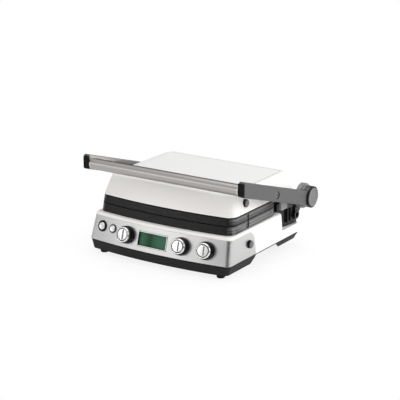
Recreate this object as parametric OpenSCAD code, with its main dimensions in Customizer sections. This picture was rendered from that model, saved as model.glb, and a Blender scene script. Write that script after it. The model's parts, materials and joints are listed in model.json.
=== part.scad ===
// Electric contact grill: a heated base, and a heated lid that rocks between two hinged arms.
// X runs to the right, Y to the back and Z up from the worktop.

/* [Base housing] */
// Width of the housing at its foot
base_w = 362; // [350:1:375]
// Depth of the housing at its foot, from the middle of its bowed front
base_d = 311; // [305:1:320]
// Height of the housing's foot above the worktop
foot_z = 31; // [29:0.5:34]
// Height of the control panel
panel_h = 52; // [48:0.5:58]
// Height of the rounded rim above the control panel
rim_h = 6; // [4:0.5:9]
// Lean of the control panel over its height
front_lean = 15.5; // [12:0.5:20]
// Lean of each side over the height of the control panel
side_lean = 5; // [3:0.5:7]
// Radius of the bowed fronts, seen from above
bow_r = 1150; // [900:10:1400]
// Radius of the housing's front corners
corner_r = 12.5; // [10:0.5:16]
// Radius of the housing's rear corners
rear_r = 10; // [8:1:16]
// Wall of the moulded housings
wall = 3; // [2:0.5:4]
// Thickness of the steel control panel
panel_t = 1.2; // [0.8:0.1:1.5]
// Depth of the control panel's wrap along each side, from the bowed front
wrap_d = 121.5; // [100:0.5:130]

/* [Underside] */
// Height of the rubber feet
foot_h = 6; // [4:0.5:8]
// Lower edge of the black front skirt
skirt_z = 9.5; // [9:0.5:14]
// Lower edge of the black rear skirt
rear_skirt_z = 15; // [12:0.5:18]
// Distance of the rear feet from the middle
rear_foot_x = 140; // [136:1:150]
// Radius of the rubber feet
foot_r = 9.5; // [8:0.5:11]
// Width of the drip tray
tray_w = 200; // [160:1:220]
// Depth of the drip tray
tray_d = 112; // [90:1:120]
// Height of the drip tray
tray_h = 12; // [10:0.5:12]

/* [Controls] */
// Distance of the left dial from the middle
dial_left_x = 75; // [73:0.5:78]
// Distance of the middle dial from the middle
dial_middle_x = 65.5; // [62:0.5:70]
// Distance of the right dial from the middle
dial_right_x = 124.5; // [118:0.5:128]
// Height of the dials' centres above the foot of the panel
dial_up = 26.5; // [25:0.5:28]
// Radius of the black skirt of a dial
dial_r = 19.2; // [17:0.1:21]
// Height of a dial's face off the panel
dial_h = 18; // [14:0.5:20]
// Radius of a dial's shaft
shaft_r = 3; // [2.5:0.1:3.5]
// Distance of the power button from the middle
power_x = 146.5; // [144:0.5:149]
// Distance of the selector button from the middle
select_x = 116; // [114:0.5:118]
// Height of the buttons' centres above the foot of the panel
button_up = 31.5; // [29:0.5:34]
// Radius of the power button
power_r = 8; // [7:0.1:9]
// Radius of the selector button
select_r = 7; // [6:0.1:8]
// Width of the ring round each button
ring_w = 3.5; // [2:0.1:4]
// Distance of the screen's middle to the left of the panel's middle
screen_x = 8; // [5:0.5:10]
// Height of the screen's middle above the foot of the panel
screen_up = 25.5; // [24:0.5:27]
// Width of the screen's window
screen_w = 76; // [70:0.5:80]
// Height of the screen's window along the panel
screen_h = 33.5; // [30:0.5:35]
// Depth of the screen below the panel
screen_deep = 5; // [3:0.5:6]

/* [Cooking plates] */
// Distance of the plates' sides inside the housing's sides
plate_side = 10.5; // [9:0.5:14]
// Depth of the plates, from the middle of the bowed front
plate_d = 214; // [200:1:218]
// Distance from the housing's bowed front to the plates' bowed front
plate_inset = 27.5; // [24:0.5:32]
// Height of the lower plate's rim above the deck
plate_h = 17.5; // [16:0.5:20]
// Radius of the plates' rear corners
plate_rear_r = 38; // [30:1:40]
// Gap between the closed plates
plate_gap = 1.6; // [1.2:0.1:2.4]
// Thickness of the plates' rims
plate_rim = 5; // [4:0.5:6]
// Number of ridges on each plate
ridges = 22; // [14:1:26]
// Width of a ridge at its foot
ridge_w = 5; // [4:0.5:7]
// Height of the ridges
ridge_h = 4.5; // [3:0.5:5]

/* [Lid] */
// Height of the lid's shell at its rear
lid_h = 44; // [40:0.5:48]
// Distance of the shell's lower edge inside the housing's sides
lid_side = 11; // [10:0.5:16]
// Depth of the shell at its lower edge
lid_d = 275; // [262:1:278]
// Lean of the shell's front, up to its shoulder
lid_front_lean = 17.5; // [14:0.5:24]
// Lean of the shell's sides, up to its shoulder
lid_side_lean = 9; // [6:0.5:12]
// Radius of the shell's corners
lid_r = 21; // [18:1:26]
// Lean of the shell's rear, up to its shoulder
lid_rear_lean = 14; // [10:0.5:16]
// Thickness of the grey plate on top of the lid
top_plate_t = 1.2; // [0.8:0.1:1.8]

/* [Handle and hinge] */
// Height of the hinge axis above the worktop
hinge_z = 111; // [109:0.5:113]
// Distance of the hinge axis behind the housing's foot
hinge_back = 6.5; // [4:0.5:9]
// Reach of the arms from the hinge axis to the tip of their noses
arm_reach = 286.5; // [282:0.5:292]
// Height of the middle of the arms' noses above the hinge axis
arm_rise = 86.5; // [84:0.5:88]
// Height of the arms' section
arm_h = 33.5; // [30:0.5:35]
// Thickness of the arms
arm_t = 16; // [14:0.5:20]
// Radius of the handle tube
tube_r = 12.5; // [11:0.1:14]
// Radius of the arms' hubs
hub_r = 24; // [22:0.5:26]
// Radius of the hinge drums on the base
drum_r = 28; // [27:0.5:32]
// Radius of the hinge pins
pin_r = 6; // [5:0.1:7]
// Distance of the lid's pivots in front of the hinge axis
pivot_reach = 150; // [140:0.5:160]
// Radius of the lid's pivot screws
pivot_r = 4; // [3:0.1:5]

/* [Plate release] */
// Radius of the plate release buttons
release_r = 8.5; // [7:0.1:9.5]
// Height of a release button off the side
release_h = 5.5; // [5:0.1:7]
// Distance from the housing's bowed front to the release buttons
release_back = 99.5; // [95:0.5:103]

/* [Clearances] */
// Running clearance of a shaft or pin in its bore, on the radius
run_gap = 0.05; // [0.03:0.01:0.08]
// Clearance of loose pieces beside each other
gap = 0.3; // [0.2:0.05:0.4]

/* [Hidden] */

$fn = 48;
skin = 0.01;
bow_steps = 9;
corner_steps = 7;
eps = 1;

housing_front = -base_d / 2;
housing_rear = base_d / 2;
panel_top = foot_z + panel_h;
rim_z = panel_top + rim_h;
deck_z = rim_z;
rim_round = 5;
rear_lean = 1.5;

plate_w = base_w - 2 * plate_side;
lid_w = base_w - 2 * lid_side;
contact_z = deck_z + plate_h;
upper_plate_z = contact_z + plate_gap;
lid_z = upper_plate_z + plate_h;
upper_plate_top = lid_z - 2.4;
lid_top = lid_z + lid_h;
plate_front = housing_front + plate_inset;
plate_rear = plate_front + plate_d;
plate_lean = 4;
plate_corner = 20;
floor_t = 4;
ridge_gap = 2;

shoulder = 6;
lid_knee = lid_h - shoulder;
lid_front = plate_front + 7.5;
lid_rear = lid_front + lid_d;
top_plate_w = lid_w - 48.5;
top_plate_front = lid_front + 51;
top_plate_rear = lid_rear - 26;

hinge_y = housing_rear + hinge_back;
nose_y = hinge_y - arm_reach;
nose_z = hinge_z + arm_rise;
arm_x = base_w / 2 + 8.5;
arm_out = arm_x + arm_t;
liner_t = 2.5;
nose_t = 2;
arm_drop = 4.6;
arm_slope = atan((arm_rise + arm_drop) / arm_reach);
tube_y = nose_y + tube_r;
tube_z = arm_line(tube_y) - 2.4;
pivot_y = hinge_y - pivot_reach;
pivot_z = arm_line(pivot_y) - 2;
hub_ring_t = 3;
hub_disc_t = 2;
hub_disc_r = hub_r - 1.5;

notch_y = plate_rear - 5;
notch_z = 50;
notch_x = base_w / 2 - 22;
bracket_t = 5;
drum_x = base_w / 2 - 3;
bracket_x = drum_x - bracket_t;

tray_z = foot_z + 2;
tray_top = tray_z + tray_h;
tray_front = housing_rear - tray_d;
fascia_t = 3;

grip_h = 3;
front_reach = -point_on_panel(0, dial_up)[1] + (dial_h + grip_h) * cos(panel_tilt(0));
rear_reach = hinge_y + drum_r;
middle_y = (rear_reach - front_reach) / 2;

// Set-back of a bowed front at the distance x from the middle
function bow(x) = bow_r - sqrt(bow_r * bow_r - x * x);

// Point on the control panel at x from the middle and up above its foot
function point_on_panel(x, up) = [x, housing_front + bow(x) + front_lean * up / panel_h, foot_z + up];

// Turn of the panel to the side, and its tilt back, at x from the middle
function panel_turn(x) = asin(x / bow_r);
function panel_tilt(x) = atan(front_lean / panel_h * cos(panel_turn(x)));

// Outline seen from above, with a bowed front and four round corners
function outline(w, front, rear, rf, rr) =
    let (cx = w / 2 - rf,
         cy = front + bow_r - sqrt(pow(bow_r - rf, 2) - cx * cx),
         blend = atan2(cy - front - bow_r, cx),
         half = 90 + blend)
    concat(
        [for (i = [-bow_steps : bow_steps]) let (a = half * i / bow_steps - 90)
            [bow_r * cos(a), front + bow_r + bow_r * sin(a)]],
        [for (i = [1 : corner_steps]) let (a = blend * (1 - i / corner_steps))
            [cx + rf * cos(a), cy + rf * sin(a)]],
        [for (i = [0 : corner_steps]) let (a = 90 * i / corner_steps)
            [w / 2 - rr + rr * cos(a), rear - rr + rr * sin(a)]],
        [for (i = [0 : corner_steps]) let (a = 90 + 90 * i / corner_steps)
            [rr - w / 2 + rr * cos(a), rear - rr + rr * sin(a)]],
        [for (i = [0 : corner_steps - 1]) let (a = 180 - blend * i / corner_steps)
            [-cx + rf * cos(a), cy + rf * sin(a)]]);

// Height of the middle of an arm's bar
function arm_line(y) = hinge_z - arm_drop + (hinge_y - y) * tan(arm_slope);

// Brings the whole object's box over the origin
module place() {
    translate([0, -middle_y, 0]) children();
}

// A hair-thin slice, for hulls
module slice(z, points) {
    translate([0, 0, z]) linear_extrude(skin) polygon(points);
}

// The outline drawn in by a distance, as a straight-walled block
module block(z0, z1, w, front, rear, rf, rr) {
    translate([0, 0, z0]) linear_extrude(z1 - z0) polygon(outline(w, front, rear, rf, rr));
}

// Both sides of the object
module both_sides() {
    children();
    mirror([1, 0, 0]) children();
}

// A rod along X between two places
module rod_x(x0, x1, y, z, r) {
    translate([x0, y, z]) rotate([0, 90, 0]) cylinder(r = r, h = x1 - x0);
}

// A box between two corners
module box(low, high) {
    translate(low) cube(high - low);
}

// A plate with round corners, lying flat
module pad(w, d, h, r) {
    translate([0, 0, h / 2]) union() {
        cube([w - 2 * r, d, h], center = true);
        cube([w, d - 2 * r, h], center = true);
        for (x = [r - w / 2, w / 2 - r], y = [r - d / 2, d / 2 - r])
            translate([x, y, 0]) cylinder(r = r, h = h, center = true);
    }
}

// Stands children on the control panel, with their Z axis along its normal
module on_panel(x, up) {
    translate(point_on_panel(x, up)) rotate([90 - panel_tilt(x), 0, panel_turn(x)]) children();
}

// ---------------------------------------------------------------- base

// The housing's form drawn in by a distance, from a height up to its rim
module housing_form(inset, low) {
    share = (low - foot_z) / panel_h;
    hull() {
        slice(low, outline(base_w - 2 * (inset + side_lean * share),
            housing_front + inset + front_lean * share, housing_rear - inset - rear_lean * share,
            corner_r - inset, rear_r - inset));
        slice(panel_top, outline(base_w - 2 * (inset + side_lean),
            housing_front + inset + front_lean, housing_rear - inset - rear_lean, corner_r - inset,
            rear_r - inset));
        for (a = [30, 60, 90]) let (draw = inset + rim_round * (1 - cos(a)))
            slice(panel_top + rim_h * sin(a) - inset - skin,
                  outline(base_w - 2 * (draw + side_lean), housing_front + draw + front_lean,
                      housing_rear - draw - rear_lean, corner_r - inset, rear_r - inset));
    }
}

// Side view of the steel wrap, with its round upper rear corner
module wrap_region() {
    wrap_r = 23;
    wrap_end = housing_front + wrap_d;
    rotate([90, 0, 90]) linear_extrude(base_w + 2 * eps, center = true) union() {
        translate([housing_front - eps, foot_z])
            square([wrap_d - wrap_r + eps, panel_h]);
        translate([housing_front - eps, foot_z])
            square([wrap_d + eps, panel_h - wrap_r]);
        translate([wrap_end - wrap_r, panel_top - wrap_r])
            circle(r = wrap_r);
    }
}

// Cuts that the controls need through the front
module control_cuts(extra) {
    cut = 40;
    for (x = [-dial_left_x, dial_middle_x, dial_right_x])
        on_panel(x, dial_up) cylinder(r = shaft_r + 1.5 + extra, h = cut, center = true);
    on_panel(-power_x, button_up) cylinder(r = power_r + ring_w - 1 + extra, h = cut, center = true);
    on_panel(-select_x, button_up) cylinder(r = select_r + ring_w - 1 + extra, h = cut, center = true);
    on_panel(-screen_x, screen_up) cube([screen_w + 2 * extra, screen_h + 2 * extra, cut], center = true);
}

module hinge_notch(inset) {
    box([notch_x + inset, notch_y + inset, notch_z + inset],
        [base_w / 2 + eps, housing_rear + eps, rim_z + eps]);
}

// Posts for the screws that hold the pan
module pan_posts(r, z0, z1) {
    post_x = base_w / 2 - 14;
    for (x = [-post_x, post_x], y = [housing_front + 62, notch_y - 20])
        translate([x, y, z0]) cylinder(r = r, h = z1 - z0);
}

well_w = plate_w - 26;
well_front = plate_front + 18;
well_rear = plate_rear - 14;
release_y = housing_front + release_back;
base_release_z = foot_z + 27;

module base_housing() color("whitesmoke") place() {
    post_top = foot_z + 24;
    difference() {
        union() {
            difference() {
                housing_form(0, foot_z);
                housing_form(wall, foot_z - eps);
            }
            intersection() {
                housing_form(wall / 2, foot_z);
                both_sides() difference() {
                    hinge_notch(-wall);
                    box([notch_x - wall - eps, notch_y - wall - eps, 0],
                        [base_w, housing_rear + eps, notch_z - wall]);
                }
            }
            intersection() {
                housing_form(wall / 2, foot_z);
                union() {
                    pan_posts(6, foot_z, post_top);
                    both_sides() for (y = [housing_front + 62, notch_y - 20])
                        box([base_w / 2 - 14, y - 1.5, foot_z], [base_w / 2, y + 1.5, post_top]);
                }
            }
        }
        pan_posts(1.6, foot_z - eps, post_top - 4);
        both_sides() hinge_notch(0);
        difference() {
            intersection() {
                housing_form(-eps, foot_z - eps);
                wrap_region();
            }
            housing_form(panel_t, foot_z - 2 * eps);
        }
        control_cuts(1.5);
        block(rim_z - 2 * wall, rim_z + eps, well_w, well_front, well_rear, plate_corner, plate_corner);
        box([-drain_w / 2 - gap, well_rear - eps, rim_z - 2 * wall],
            [drain_w / 2 + gap, drain_rear + gap, rim_z + eps]);
        rod_x(base_w / 2 - 30, base_w / 2 + eps, release_y, base_release_z, release_r + gap);
        box([-tray_w / 2 - 1, housing_rear - 2 * wall - rear_lean, foot_z - eps],
            [tray_w / 2 + 1, housing_rear + eps, tray_top + 1.2]);
        translate([gland_x, housing_rear + eps, gland_z]) rotate([90, 0, 0])
            cylinder(r = gland_r, h = 4 * wall);
    }
}

module control_panel() color("silver") place() {
    difference() {
        intersection() {
            housing_form(0, foot_z);
            wrap_region();
        }
        housing_form(panel_t, foot_z - eps);
        control_cuts(0);
        rod_x(base_w / 2 - 30, base_w / 2 + eps, release_y, base_release_z, release_r + gap);
    }
}

// Flat black tub that closes the housing from below
pan_t = 3;
pan_flange = 3.5;
pan_z = foot_z - pan_flange - pan_t;
leg_x = base_w / 2 - 30;
front_foot_y = housing_front + 30;
rear_foot_y = housing_rear - 26.5;

// Places of the four feet
module feet() {
    both_sides() {
        translate([leg_x, front_foot_y, 0]) children();
        translate([rear_foot_x, rear_foot_y, 0]) children();
    }
}

pan_tub = 22;
pan_wall = 3;
vent_pitch = 16;
vent_reach = 7 * vent_pitch;
vent_w = 5;
vent_l = 40;
vent_y = housing_front + 60;

module base_pan() color("dimgray") place() {
    inset = 1.5;
    difference() {
        union() {
            difference() {
                block(foot_z - pan_flange, foot_z, base_w - 2 * inset, housing_front + inset,
                    housing_rear - inset, corner_r, rear_r);
                block(foot_z - pan_flange - eps, foot_z + eps, base_w - 2 * (pan_tub + pan_wall),
                    housing_front + pan_tub + pan_wall, housing_rear - pan_tub / 2 - pan_wall,
                    corner_r, rear_r);
            }
            difference() {
                block(pan_z, foot_z - pan_flange + skin, base_w - 2 * pan_tub,
                    housing_front + pan_tub, housing_rear - pan_tub / 2, corner_r, rear_r);
                block(pan_z + pan_t, foot_z, base_w - 2 * (pan_tub + pan_wall),
                    housing_front + pan_tub + pan_wall, housing_rear - pan_tub / 2 - pan_wall,
                    corner_r, rear_r);
            }
            feet() translate([0, 0, foot_h])
                cylinder(r1 = foot_r + 1, r2 = foot_r + 2.5, h = pan_z - foot_h + eps);
            for (x = [-tray_w / 2 + 14, tray_w / 2 - 14])
                box([x - 3, tray_front + 10, pan_z + eps], [x + 3, housing_rear - 14, tray_z - gap]);
        }
        pan_posts(1.9, 0, foot_z + eps);
        for (x = [-vent_reach : vent_pitch : vent_reach])
            box([x - vent_w / 2, vent_y, pan_z - eps], [x + vent_w / 2, vent_y + vent_l, foot_z]);
        feet() cylinder(r = 3 + gap / 2, h = foot_h + 6);
    }
}

// The skirt's form, drawn in by a distance
module skirt_form(inset, low, high) {
    lean = 7;
    hull() {
        slice(low, outline(base_w - 2 * (lean + inset), housing_front + 2.5 + inset,
            housing_rear - lean - inset, corner_r, rear_r));
        slice(high, outline(base_w - 2 * (1.5 + inset), housing_front + 1.5 + inset,
            housing_rear - 1.5 - inset, corner_r, rear_r));
    }
}

// Black wall under the housing, down to a height and where the side view says
module skirt(low, side_view) {
    intersection() {
        difference() {
            skirt_form(0, low, skirt_top - skin);
            skirt_form(3.5, low - skin, skirt_top + skin);
        }
        rotate([90, 0, 90]) linear_extrude(base_w, center = true) polygon(side_view);
    }
}

skirt_top = foot_z - pan_flange;
front_skirt_end = housing_front + wrap_d + 2;
rear_skirt_end = housing_rear - 0.32 * base_d;

// Under the control panel, cut off on a slant at each side
module front_skirt() color("dimgray") place() {
    low = skirt_z - eps;
    front = housing_front - eps;
    skirt(skirt_z, [[front, low], [front_skirt_end - 14, low], [front_skirt_end, skirt_top - 4],
        [front_skirt_end, skirt_top + eps], [front, skirt_top + eps]]);
}

// Under the rear half, cut off on a longer slant
module rear_skirt() color("dimgray") place() {
    low = rear_skirt_z - eps;
    rear = housing_rear + eps;
    skirt(rear_skirt_z, [[rear, skirt_top + eps], [rear_skirt_end, skirt_top + eps],
        [rear_skirt_end, skirt_top],
                         [rear_skirt_end + 19, low], [rear - 11, low], [rear, skirt_top - 4]]);
}

module rubber_feet() color("black") place() feet() union() {
    cylinder(r1 = foot_r - 1, r2 = foot_r, h = foot_h);
    cylinder(r = 3, h = foot_h + 5);
}

module housing_screws() color("gray") place() {
    head_h = 2;
    union() {
        pan_posts(3.5, foot_z - pan_flange - head_h, foot_z - pan_flange);
        pan_posts(1.5, foot_z - pan_flange - skin, foot_z + 15);
    }
}

// ---------------------------------------------------------------- controls

bezel_deep = screen_deep + 8;
bezel_w = 2.2;
glass_t = 2;

module screen_bezel() color("black") place() on_panel(-screen_x, screen_up) difference() {
    translate([0, 0, -bezel_deep]) linear_extrude(bezel_deep + 0.3)
        square([screen_w - 2 * gap, screen_h - 2 * gap], center = true);
    translate([0, 0, -screen_deep]) linear_extrude(screen_deep + eps)
        square([screen_w - 2 * bezel_w, screen_h - 2 * bezel_w], center = true);
    translate([0, 0, -bezel_deep - eps]) linear_extrude(bezel_deep + eps - screen_deep)
        square([screen_w - bezel_w, screen_h - bezel_w], center = true);
}

module screen_window() color("seagreen") place() on_panel(-screen_x, screen_up)
    translate([0, 0, -screen_deep - glass_t]) linear_extrude(glass_t)
        square([screen_w - bezel_w - 2 * gap, screen_h - bezel_w - 2 * gap], center = true);

module display_module() color("darkgreen") place() on_panel(-screen_x, screen_up)
    translate([0, 0, -bezel_deep]) linear_extrude(bezel_deep - screen_deep - glass_t)
        square([screen_w - bezel_w - 2 * gap, screen_h - bezel_w - 2 * gap], center = true);

board_t = 1.6;
board_deep = 22;
board_w = dial_left_x + dial_right_x + 30.5;
board_middle = (dial_right_x - dial_left_x) / 2 + screen_x - 7.75;

module control_board() color("green") place() on_panel(-screen_x, screen_up) difference() {
    union() {
        translate([board_middle, 0, -board_deep - board_t]) linear_extrude(board_t)
            square([board_w, screen_h + 2.5], center = true);
        for (x = [-29, 29], y = [-10, 10])
            translate([x, y, -board_deep]) cylinder(r = 2.5, h = board_deep - bezel_deep);
        translate([-20, 0, -board_deep]) linear_extrude(4) square([14, 14], center = true);
        translate([16, 3, -board_deep]) linear_extrude(6) square([18, 10], center = true);
    }
    for (x = [board_middle - board_w / 2 + 5, board_middle + board_w / 2 - 5])
        translate([x, 14, -board_deep - 2 * board_t]) cylinder(r = 1.8, h = 4 * board_t);
}

encoder_w = 18;
encoder_h = 9;
wall_deep = wall + gap;

module encoder(x) {
    on_panel(x, dial_up) difference() {
        union() {
            translate([0, 0, -wall_deep - encoder_h]) linear_extrude(encoder_h)
                square([encoder_w, encoder_w], center = true);
            translate([0, 0, -wall_deep - skin]) cylinder(r = shaft_r + 1.2, h = wall_deep + 0.4);
        }
        translate([0, 0, -wall_deep - encoder_h + 2])
            cylinder(r = shaft_r + run_gap, h = wall_deep + encoder_h);
    }
}

module dial_encoders() color("gray") place() {
    encoder(-dial_left_x);
    encoder(dial_middle_x);
    encoder(dial_right_x);
}

skirt_t = 11;

module dial_skirt(x) {
    on_panel(x, dial_up) difference() {
        union() {
            translate([0, 0, 2 * gap]) cylinder(r1 = dial_r, r2 = dial_r - 0.6, h = skirt_t - 2 * gap);
            translate([0, 0, 2 * gap]) cylinder(r = dial_r + 0.4, h = 1.2);
        }
        translate([0, 0, 2 * gap - eps]) cylinder(r = dial_r - 3, h = skirt_t - 4);
        cylinder(r = shaft_r, h = dial_h);
    }
}

// Silver cap with a raised grip bar, and the shaft below it
module dial_cap(x) {
    cap_r = dial_r - 2.4;
    on_panel(x, dial_up) union() {
        translate([0, 0, skirt_t]) cylinder(r = cap_r, h = dial_h - skirt_t - 1.2);
        translate([0, 0, dial_h - 1.2 - skin]) cylinder(r1 = cap_r, r2 = cap_r - 1.2, h = 1.2 + skin);
        intersection() {
            translate([0, 0, dial_h - eps]) linear_extrude(eps + grip_h) union() {
                square([6, 2 * cap_r - 12], center = true);
                for (y = [6 - cap_r, cap_r - 6]) translate([0, y]) circle(r = 3);
            }
            cylinder(r = cap_r, h = dial_h + grip_h);
        }
        translate([0, 0, 3 - wall_deep - encoder_h])
            cylinder(r = shaft_r, h = skirt_t + wall_deep + encoder_h - 3 + skin);
    }
}

module dial_left_skirt() color("black") place() dial_skirt(-dial_left_x);
module dial_left_cap() color("silver") place() dial_cap(-dial_left_x);
module dial_middle_skirt() color("black") place() dial_skirt(dial_middle_x);
module dial_middle_cap() color("silver") place() dial_cap(dial_middle_x);
module dial_right_skirt() color("black") place() dial_skirt(dial_right_x);
module dial_right_cap() color("silver") place() dial_cap(dial_right_x);

ring_h = 1.5;

module button_ring(x, r) {
    on_panel(-x, button_up) difference() {
        union() {
            translate([0, 0, 0.2]) cylinder(r = r + ring_w, h = ring_h);
            translate([0, 0, -wall_deep]) cylinder(r = r + ring_w - 1.2, h = wall_deep + 0.2 + skin);
        }
        translate([0, 0, -wall_deep - eps]) cylinder(r = r + gap, h = wall_deep + ring_h + 2 * eps);
    }
}

module power_button_ring() color("black") place() button_ring(power_x, power_r);
module select_button_ring() color("dimgray") place() button_ring(select_x, select_r);

button_h = 3.2;
button_travel = 1.2;
button_deep = 7;

// Round button with a foot that keeps it in its ring
module push_button(x, r) {
    on_panel(-x, button_up) union() {
        translate([0, 0, -button_deep]) cylinder(r = r, h = button_deep + button_h - 0.8);
        translate([0, 0, button_h - 0.8 - skin]) cylinder(r1 = r, r2 = r - 0.8, h = 0.8 + skin);
        translate([0, 0, -button_deep]) cylinder(r = r + 1.2, h = button_deep - wall_deep - gap);
    }
}

module power_button() color("silver") place() push_button(power_x, power_r);
module select_button() color("silver") place() push_button(select_x, select_r);

// Small board with a push switch behind each button, on one post from the wall
module button_switches() color("gray") place() {
    middle = (power_x + select_x) / 2;
    half = (power_x - select_x) / 2;
    plunger = -button_deep - button_travel - 2 * gap;
    board = plunger - 6;
    on_panel(-middle, button_up) union() {
        translate([0, 0, board - board_t]) linear_extrude(board_t)
            square([2 * half + 22, 20], center = true);
        translate([0.5, 0, board - skin]) cylinder(r = 3, h = -wall_deep - board);
        for (x = [-half, half]) {
            translate([x, 0, board - skin]) linear_extrude(4 + skin) square([7, 7], center = true);
            translate([x, 0, board + 4 - skin]) cylinder(r = 1.8, h = 2 + skin);
        }
    }
}

// ---------------------------------------------------------------- plates and heating

drain_w = 26;
drain_z = deck_z - 2;
drain_rear = well_rear + 36;

// One ridge with sloping sides, along Y
module ridge(x, y0, y1, z0, z1) {
    translate([x, y1, 0]) rotate([90, 0, 0]) linear_extrude(y1 - y0)
        polygon([[-ridge_w / 2, z0], [ridge_w / 2, z0], [ridge_w / 4, z1], [-ridge_w / 4, z1]]);
}

ridge_pitch = (plate_w - 2 * plate_rim - 24) / ridges;
ridge_front = plate_front + plate_rim + 20;
ridge_rear = plate_rear - plate_rim - 16;
lower_floor = contact_z - ridge_h - ridge_gap;

// Outer form of a plate, between two heights, with its front's lean
module plate_form(z0, z1, f0, f1) {
    hull() {
        slice(z0, outline(plate_w, plate_front + f0, plate_rear, plate_corner, plate_rear_r));
        slice(z1 - skin, outline(plate_w - 1, plate_front + f1, plate_rear, plate_corner, plate_rear_r));
    }
}

module plate_hollow(z0, z1, inset) {
    block(z0, z1, plate_w - 2 * inset, plate_front + inset + plate_lean, plate_rear - inset,
        plate_corner - inset, plate_rear_r - inset);
}

// Slot down each side of the closed plates, in front of their catches
module plate_slots() {
    deep = 2.5;
    half = 5.5;
    both_sides() box([plate_w / 2 - deep, slot_y - half, deck_z + 3],
        [plate_w / 2 + eps, slot_y + half, lid_z - 4]);
}

slot_y = plate_front + 76;

module lower_plate() color("darkslategray") place() {
    difference() {
        union() {
            difference() {
                plate_form(deck_z, contact_z, 0, plate_lean);
                plate_hollow(lower_floor, contact_z + eps, plate_rim);
                plate_hollow(deck_z - eps, lower_floor - floor_t, plate_rim + 3);
            }
            box([-drain_w / 2, well_rear - 18, drain_z], [drain_w / 2, well_rear - 2, lower_floor - skin]);
            box([-drain_w / 2, well_rear - 3, drain_z], [drain_w / 2, drain_rear - 8, drain_z + 4]);
            for (i = [0 : ridges - 1])
                ridge((i - (ridges - 1) / 2) * ridge_pitch, ridge_front, ridge_rear,
                    lower_floor - skin, contact_z - ridge_gap);
        }
        box([3 - drain_w / 2, well_rear - 15, drain_z + 1],
            [drain_w / 2 - 3, well_rear - 6, lower_floor + eps]);
        box([3 - drain_w / 2, well_rear - 15, drain_z + 1],
            [drain_w / 2 - 3, drain_rear - 10, drain_z + 3]);
        translate([0, drain_rear - 14, drain_z - eps]) cylinder(r = 3.5, h = 3);
        plate_slots();
    }
}

element_r = 3.3;
leg_half = 12;

// Round heating tube bent into a flat loop, open between its two legs at the back
module element(z, leg_z0, leg_z1) {
    bend = 24;
    half_w = well_w / 2 - 30;
    y0 = well_front + 26;
    y1 = well_rear - 26;
    both_sides() translate([0, 0, z]) union() {
        rod_x(-skin, half_w - bend + skin, y0, 0, element_r);
        translate([half_w - bend, y0 + bend, 0]) rotate([0, 0, -90])
            rotate_extrude(angle = 90) translate([bend, 0]) circle(r = element_r);
        translate([half_w, y0 + bend - skin, 0]) rotate([-90, 0, 0])
            cylinder(r = element_r, h = y1 - y0 - 2 * bend + 2 * skin);
        translate([half_w - bend, y1 - bend, 0])
            rotate_extrude(angle = 90) translate([bend, 0]) circle(r = element_r);
        rod_x(leg_half, half_w - bend + skin, y1, 0, element_r);
        translate([leg_half, y1, leg_z0 - z]) cylinder(r = element_r, h = leg_z1 - leg_z0);
    }
}

pan_flange_w = 5;
cup_in = 8;
stat_r = 9;
reflector_t = 1;
reflector_deep = 20;
clip_y = 60;
clip_x = 30;
clip_l = 12;
clip_w = 6;
clip_low = well_w / 2 - clip_x - clip_l / 2;

// Bright pan that backs a heating element, with a flange at its mouth
module reflector(mouth, deep_dir) {
    t = reflector_t;
    z_flange = deep_dir > 0 ? mouth : mouth - t;
    z_low = deep_dir > 0 ? mouth : mouth - reflector_deep;
    z_high = deep_dir > 0 ? mouth + reflector_deep : mouth;
    in_low = deep_dir > 0 ? z_low - eps : z_low + t;
    in_high = deep_dir > 0 ? z_high - t : z_high + eps;
    difference() {
        union() {
            block(z_flange, z_flange + t, well_w + 2 * pan_flange_w, well_front - pan_flange_w,
                well_rear + pan_flange_w, plate_corner, plate_corner);
            block(z_low, z_high, well_w - 2 * cup_in, well_front + cup_in, well_rear - cup_in,
                plate_corner, plate_corner);
        }
        block(in_low, in_high, well_w - 2 * (cup_in + t), well_front + cup_in + t,
            well_rear - cup_in - t, plate_corner - t, plate_corner - t);
        both_sides() translate([leg_half, well_rear - 26, z_low - eps])
            cylinder(r = element_r + gap, h = z_high - z_low + 2 * eps);
        translate([0, (well_front + well_rear) / 2, z_low - eps])
            cylinder(r = stat_r + gap, h = z_high - z_low + 2 * eps);
    }
}

mouth_z = deck_z - wall;
lower_element_z = mouth_z - 3.5;

module lower_reflector() color("lightgray") place() {
    union() {
        reflector(mouth_z, -1);
        both_sides() for (y = [well_front + clip_y, well_rear - clip_y])
            box([clip_low, y - clip_w / 2, mouth_z - reflector_deep + reflector_t - skin],
                [clip_low + clip_l, y + clip_w / 2, lower_element_z - element_r - gap]);
    }
}

module lower_element() color("gray") place()
    element(lower_element_z, mouth_z - reflector_deep - 14, lower_element_z);

module lower_thermostat() color("goldenrod") place() {
    translate([0, (well_front + well_rear) / 2, 0]) union() {
        translate([0, 0, mouth_z - reflector_deep - 8]) cylinder(r = stat_r + 3, h = 8);
        translate([0, 0, mouth_z - reflector_deep - skin])
            cylinder(r = stat_r, h = lower_floor - floor_t - gap - mouth_z + reflector_deep);
    }
}

// Black cover over the deck behind the plates, with the well that the drain runs into
module rear_bridge() color("black") place() {
    top = deck_z + 12;
    front = plate_rear + gap + 1;
    rear = housing_rear - rear_lean - rim_round - 3;
    half = base_w / 2 - 25;
    difference() {
        union() {
            box([-half, front, deck_z], [half, rear, top - 3]);
            hull() {
                box([-half, front, top - 4], [half, rear, top - 3]);
                box([3 - half, front + 3, top - 1], [half - 3, rear - 3, top]);
            }
        }
        box([-half + 3, front + 3, deck_z - eps], [half - 3, rear - 3, top - 3]);
        box([-drain_w / 2 - gap, front - eps, deck_z - eps],
            [drain_w / 2 + gap, front + 4, drain_z + 4 + gap]);
    }
}

// ---------------------------------------------------------------- hinge

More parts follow.
